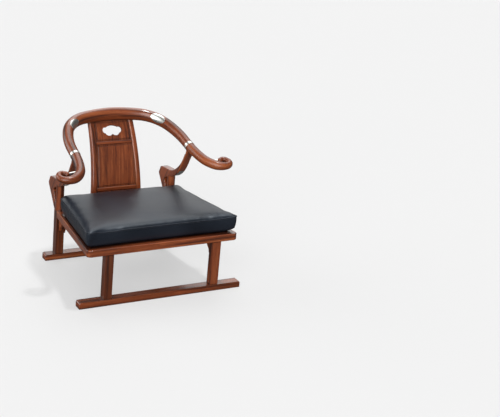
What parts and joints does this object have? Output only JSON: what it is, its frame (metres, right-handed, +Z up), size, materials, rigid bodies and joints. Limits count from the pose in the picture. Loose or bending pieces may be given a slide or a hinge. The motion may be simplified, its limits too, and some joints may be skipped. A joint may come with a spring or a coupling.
{
  "type": "horseshoe back armchair",
  "caption": "Low horseshoe-back armchair on two floor runners, with goose-neck arm supports, scrolled hand-rests, a splat with a cloud-shaped opening and a loose box cushion.",
  "frame": {"origin": "centre of the whole chair's box on the floor", "axes": "+X to the chair's left-hand side as it is seen from the front at the right, +Y from the front to the back, +Z up"},
  "size_m": [0.8716, 0.7114, 0.6923],
  "materials": {
    "rosewood": "clear gloss",
    "splat_board": "clear gloss, open grain",
    "seat_board": "satin",
    "pale_metal": "worn white brass",
    "leather": "semi-gloss"
  },
  "bodies": {
    "chair": {"arm_band_left": "pale_metal", "arm_band_right": "pale_metal", "arm_post_left": "rosewood", "arm_post_right": "rosewood", "arm_rail_left": "rosewood", "arm_rail_right": "rosewood", "back_leg_left": "rosewood", "back_leg_right": "rosewood", "back_runner": "rosewood", "crest_rail": "rosewood", "front_bracket_left": "rosewood", "front_bracket_right": "rosewood", "front_leg_left": "rosewood", "front_leg_right": "rosewood", "front_runner": "rosewood", "goose_neck_left": "rosewood", "goose_neck_right": "rosewood", "hand_rest_left": "rosewood", "hand_rest_right": "rosewood", "neck_lower_strip_left": "pale_metal", "neck_lower_strip_right": "pale_metal", "neck_upper_strip_left": "pale_metal", "neck_upper_strip_right": "pale_metal", "rear_bracket_left": "rosewood", "rear_bracket_right": "rosewood", "scarf_peg_left": "rosewood", "scarf_peg_right": "rosewood", "scarf_plate_left": "pale_metal", "scarf_plate_right": "pale_metal", "scroll_pin_left": "pale_metal", "scroll_pin_right": "pale_metal", "seat_back_rail": "rosewood", "seat_batten_left": "seat_board", "seat_batten_right": "seat_board", "seat_front_rail": "rosewood", "seat_panel": "seat_board", "seat_side_rail_left": "rosewood", "seat_side_rail_right": "rosewood", "side_bracket_left": "rosewood", "side_bracket_right": "rosewood", "splat_bottom_rail": "rosewood", "splat_foot_panel": "splat_board", "splat_lower_panel": "splat_board", "splat_middle_rail": "rosewood", "splat_stile_left": "rosewood", "splat_stile_right": "rosewood", "splat_upper_panel": "splat_board"},
    "cushion": {"seat_cushion": "leather"}
  },
  "joints": [
    {"name": "cushion_lift", "type": "slide", "parent": "chair", "child": "cushion", "axis": [0, 0, 1], "range_m": [0, 0.04]}
  ]
}
